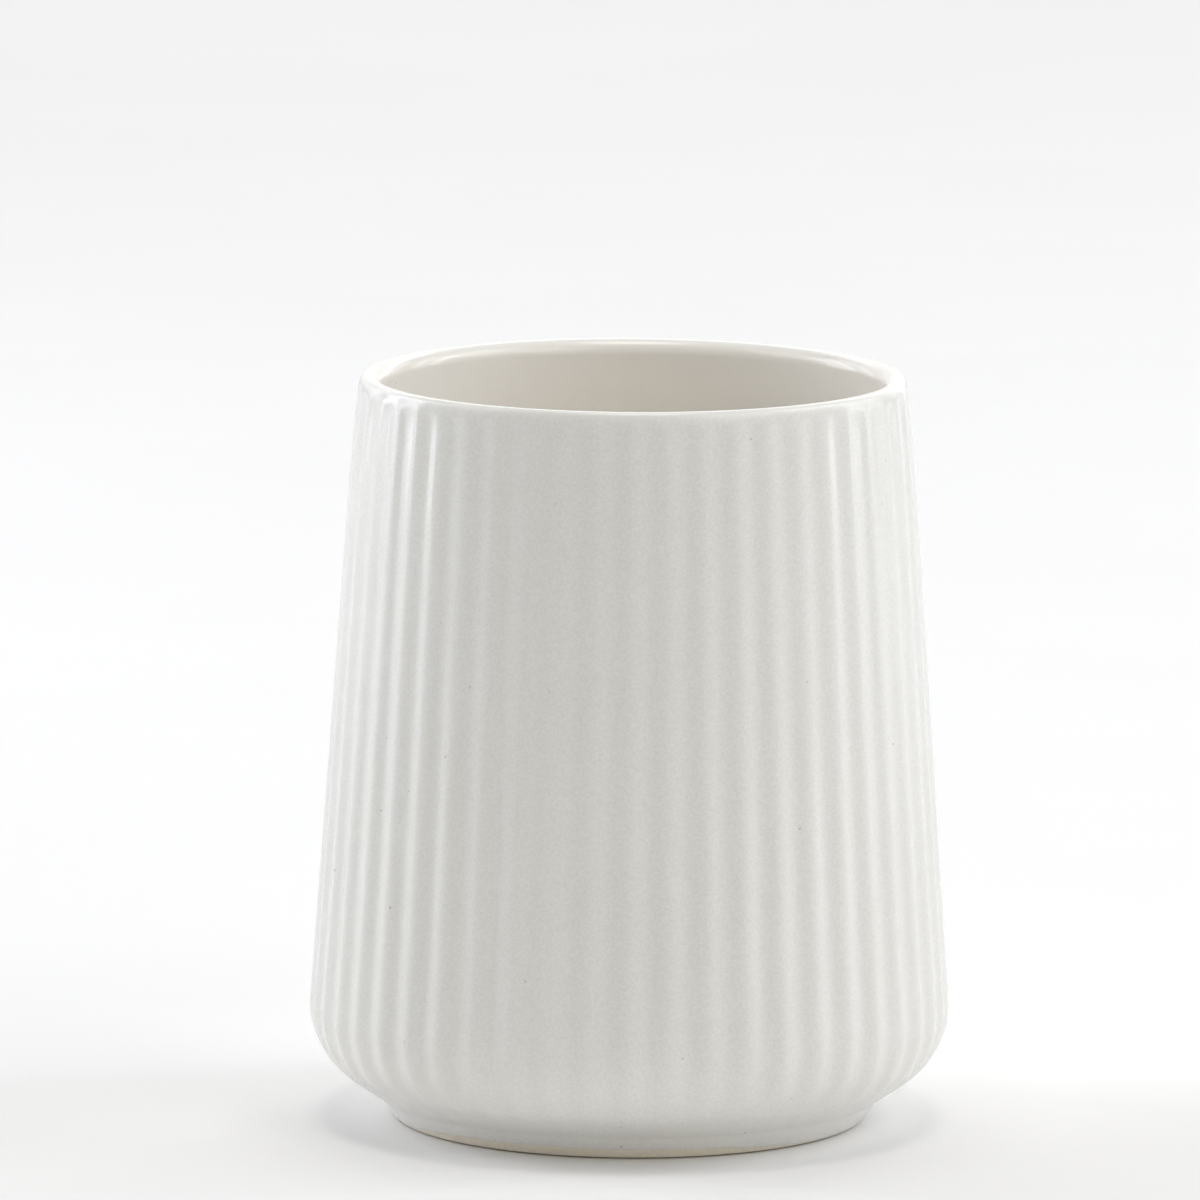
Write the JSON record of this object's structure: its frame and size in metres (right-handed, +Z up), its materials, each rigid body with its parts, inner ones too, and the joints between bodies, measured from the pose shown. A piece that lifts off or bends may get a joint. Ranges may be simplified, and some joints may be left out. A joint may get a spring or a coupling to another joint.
{
  "type": "toothbrush holder",
  "caption": "Open ceramic cup that holds toothbrushes upright: fluted tapering wall, rounded lip and belly, low bare foot ring, small clear pads under it.",
  "frame": {"origin": "under the middle of the cup, on the surface that it stands on", "axes": "+Z up along the cup's axis; the cup is round, with a ridge between two flutes facing -Y"},
  "size_m": [0.0854, 0.0854, 0.1],
  "materials": {
    "white_glaze": "satin glaze, bare clay on the ground face of the foot",
    "clear_pad": "clear soft rubber, slightly cloudy"
  },
  "bodies": {
    "root": {"ceramic_body": "white_glaze", "foot_pad_front": "clear_pad", "foot_pad_right": "clear_pad", "foot_pad_back": "clear_pad", "foot_pad_left": "clear_pad"}
  },
  "joints": []
}
